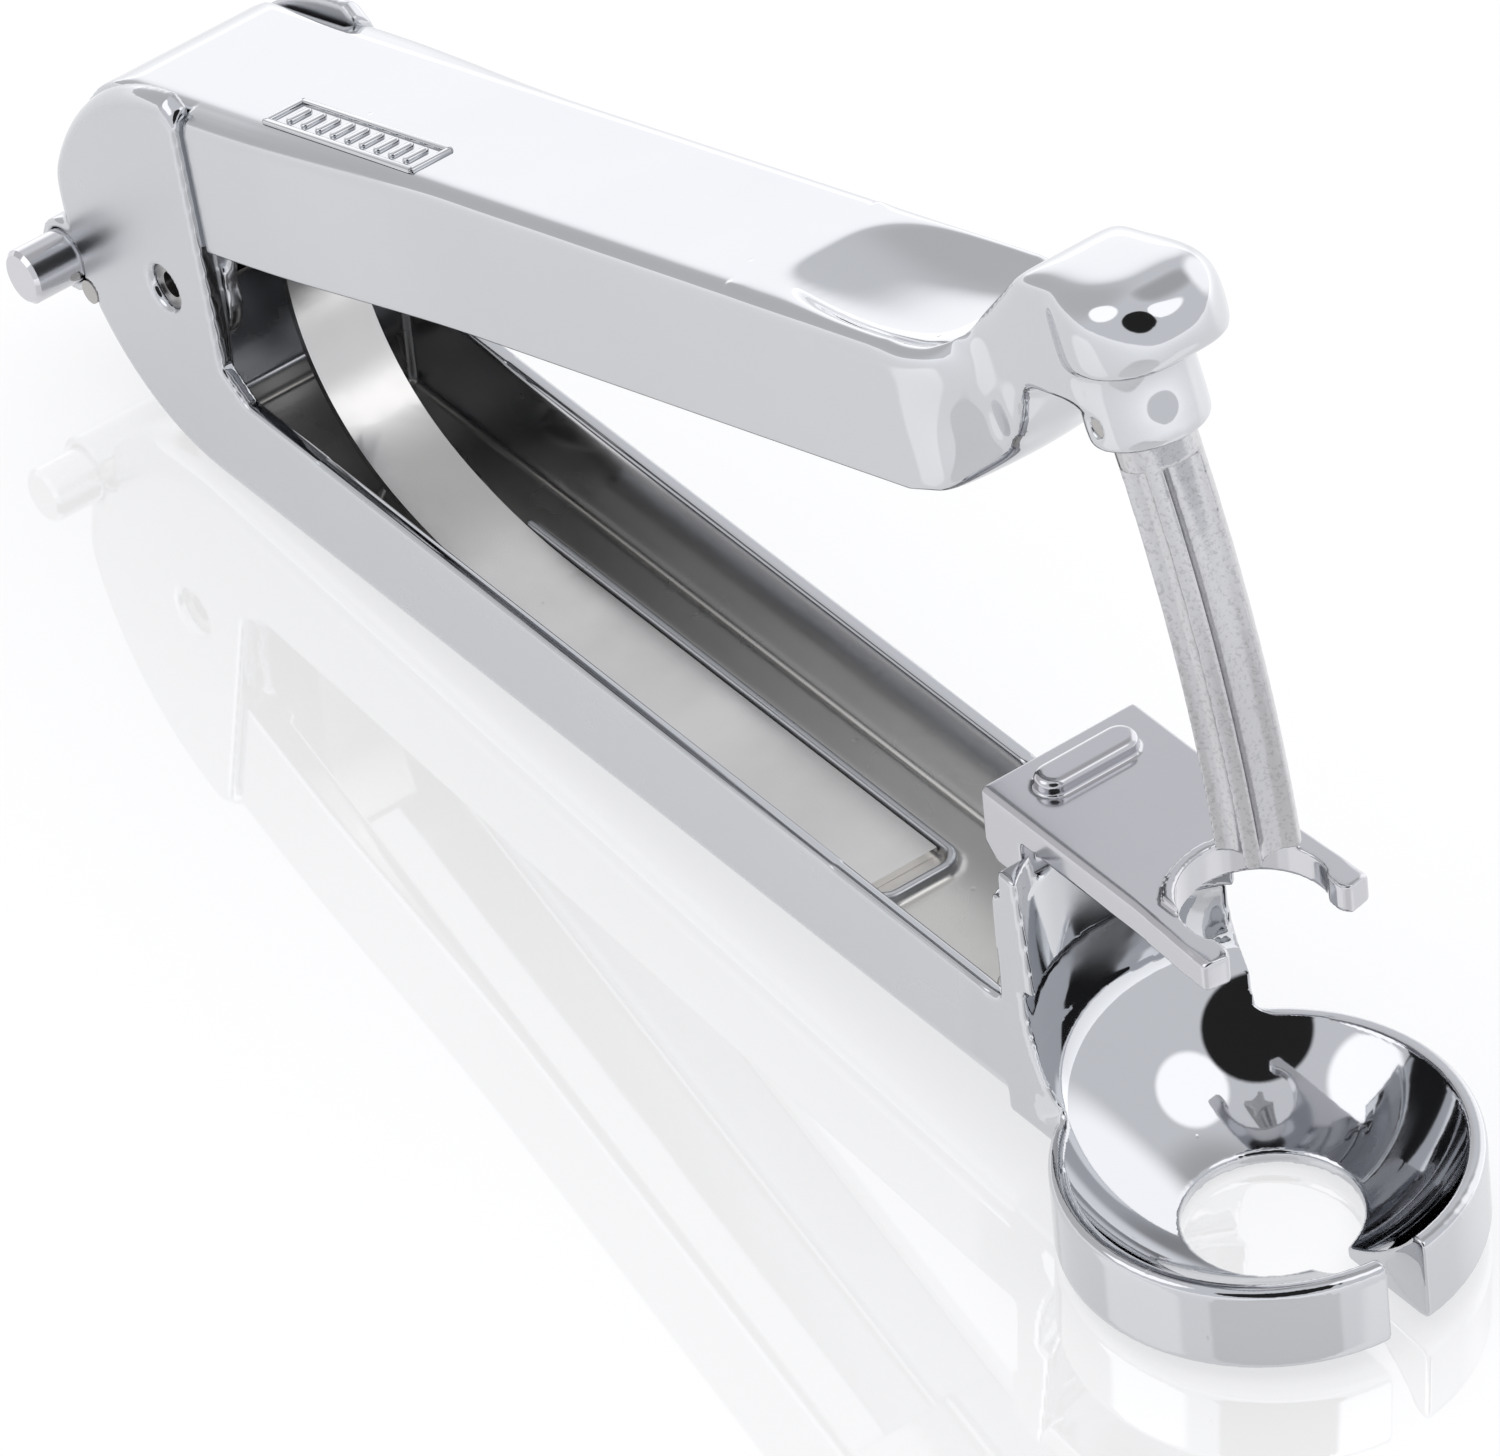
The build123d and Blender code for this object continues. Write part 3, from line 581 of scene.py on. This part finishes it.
def nose_softness(p):
    """The front end, neck and nose flow into each other, the dish a little; the boss keeps its edge."""
    front = step(p.x, 111.0, 116.0)
    nose = step(p.x, 124.0, 131.0)
    above_boss = step(p.z, 13.5, 16.5)
    dish = step(p.x, 90.0, 93.0) * step(p.z, 13.5, 15.0) * (1.0 - step(abs(p.y), 7.6, 8.4))
    return max(front * (1.0 - nose + nose * 0.7 * above_boss), 0.22 * dish)


top_skin = eased_casting("top_handle", "upper_handle", HANDLE, voxel=0.3 * MM, rounds=5, soft_rounds=150,
                         softness=nose_softness, shape=top_form)
show_as(top_skin, plate_top, "upper", "upper_handle")


def rounded_bar(bm, start, end, half_width, base, top):
    """Low bar with round ends and a soft top, lying on the handle's back."""
    along = (end - start).normalized()
    side = Vector((0, 0, 1)).cross(along)
    ends = []
    for k in range(9):
        a = -pi / 2 + pi * k / 8
        ends.append(end + along * half_width * cos(a) + side * half_width * sin(a))
    for k in range(9):
        a = pi / 2 + pi * k / 8
        ends.append(start + along * half_width * cos(a) + side * half_width * sin(a))
    middle = (start + end) / 2
    rings = []
    shoulder, crown = top * 0.55 + base * 0.45, top * 0.9 + base * 0.1
    for inset, height in ((1.0, base), (0.97, shoulder), (0.8, crown), (0.45, top)):
        ring = []
        for p in ends:
            core = start + along * max(0.0, min((end - start).length, (p - start).dot(along)))
            q = core + (p - core) * inset
            ring.append(bm.verts.new((q.x, q.y, height)))
        rings.append(ring)
    count = len(ends)
    for low, high in zip(rings, rings[1:]):
        for k in range(count):
            bm.faces.new((low[k], low[(k + 1) % count], high[(k + 1) % count], high[k]))
    bm.faces.new(rings[-1])


# Raised maker's panel near the hinge: a low frame round nine plain ribs.
BACK = TOP_BACK * MM
PANEL_U = (20.4 * MM, 42.7 * MM)
PANEL_Y = (-7.1 * MM, -3.2 * MM)
FRAME_HALF, FRAME_TOP = 0.32 * MM, BACK + 0.28 * MM
RIBS, RIB_HALF, RIB_TOP, RIB_MARGIN = 9, 0.42 * MM, BACK + 0.3 * MM, 1.1 * MM
PANEL_BASE = BACK - 0.05 * MM
bm = bmesh.new()
corners = [Vector((PANEL_U[0], PANEL_Y[0], 0)), Vector((PANEL_U[1], PANEL_Y[0], 0)),
           Vector((PANEL_U[1], PANEL_Y[1], 0)), Vector((PANEL_U[0], PANEL_Y[1], 0))]
for k in range(4):
    rounded_bar(bm, corners[k], corners[(k + 1) % 4], FRAME_HALF, PANEL_BASE, FRAME_TOP)
for k in range(RIBS):
    u = PANEL_U[0] + (PANEL_U[1] - PANEL_U[0]) * (k + 1) / (RIBS + 1)
    rounded_bar(bm, Vector((u, PANEL_Y[0] + RIB_MARGIN, 0)), Vector((u, PANEL_Y[1] - RIB_MARGIN, 0)),
                RIB_HALF, PANEL_BASE, RIB_TOP)
mesh_piece("makers_panel", bm, HANDLE, plate_top, "upper")

# ---------------------------------------------------------------- punch
# Tumbled casting, left bare, with four flutes.
def even_finish(p):
    """Tumbling leaves every part alike."""
    return 0.0


SPECK_SCALE = 2600.0
GRIT_STRENGTH, GRIT_HEIGHT = 0.14, 0.00008
bare, tree, where, shader = chrome("tumbled_punch", HANDLE, (0.57, 0.57, 0.585), (0.47, 0.47, 0.485),
                                   rough_low=0.1, rough_high=0.18)
speck = add(tree, "ShaderNodeTexNoise", {"Vector": where, "Scale": SPECK_SCALE, "Detail": 3.0, "Roughness": 0.7})
grit = add(tree, "ShaderNodeBump", {"Strength": GRIT_STRENGTH, "Distance": GRIT_HEIGHT,
                                    "Height": speck.outputs[0]})
tree.links.new(grit.outputs[0], shader.inputs["Normal"])
pits = ramp(tree, speck.outputs[0], 0.36, 0.5, 0.82, 1.0)
old = shader.inputs["Base Color"].links[0].from_socket
darker = add(tree, "ShaderNodeMix", {"Factor": 1.0, 6: old, 7: pits}, data_type="RGBA",
             blend_type="MULTIPLY")
tree.links.new(darker.outputs[2], shader.inputs["Base Color"])
punch_skin = eased_casting("fluted_punch", "punch", HANDLE, voxel=0.14 * MM, rounds=3, soft_rounds=1,
                           softness=even_finish)
show_as(punch_skin, bare, "upper", "punch")

# ---------------------------------------------------------------- stripper fork
# Plated casting that slides on to the post's head.
fork = chrome("plated_fork", TOOL, (0.60, 0.60, 0.625), (0.55, 0.55, 0.58), rough_low=0.1, rough_high=0.16)[0]
PRONG_INWARD = 1.3


def prong_softness(p):
    """The prongs' ends are rounder than the plate."""
    return step(p.x, 1.5, 4.5)


def blunt_prongs(p):
    """The prongs keep their width to the end."""
    half = abs(p.y)
    inward = PRONG_INWARD * step(p.x, 2.0, 5.2) * (1.0 - step(half, 6.6, 8.6))
    return p.x, (half - inward) * (1 if p.y > 0 else -1), p.z


fork_skin = eased_casting("stripper_fork", "stripper", TOOL, voxel=0.16 * MM, rounds=5, soft_rounds=8,
                          softness=prong_softness, shape=blunt_prongs)
show_as(fork_skin, fork, "fork", "stripper")
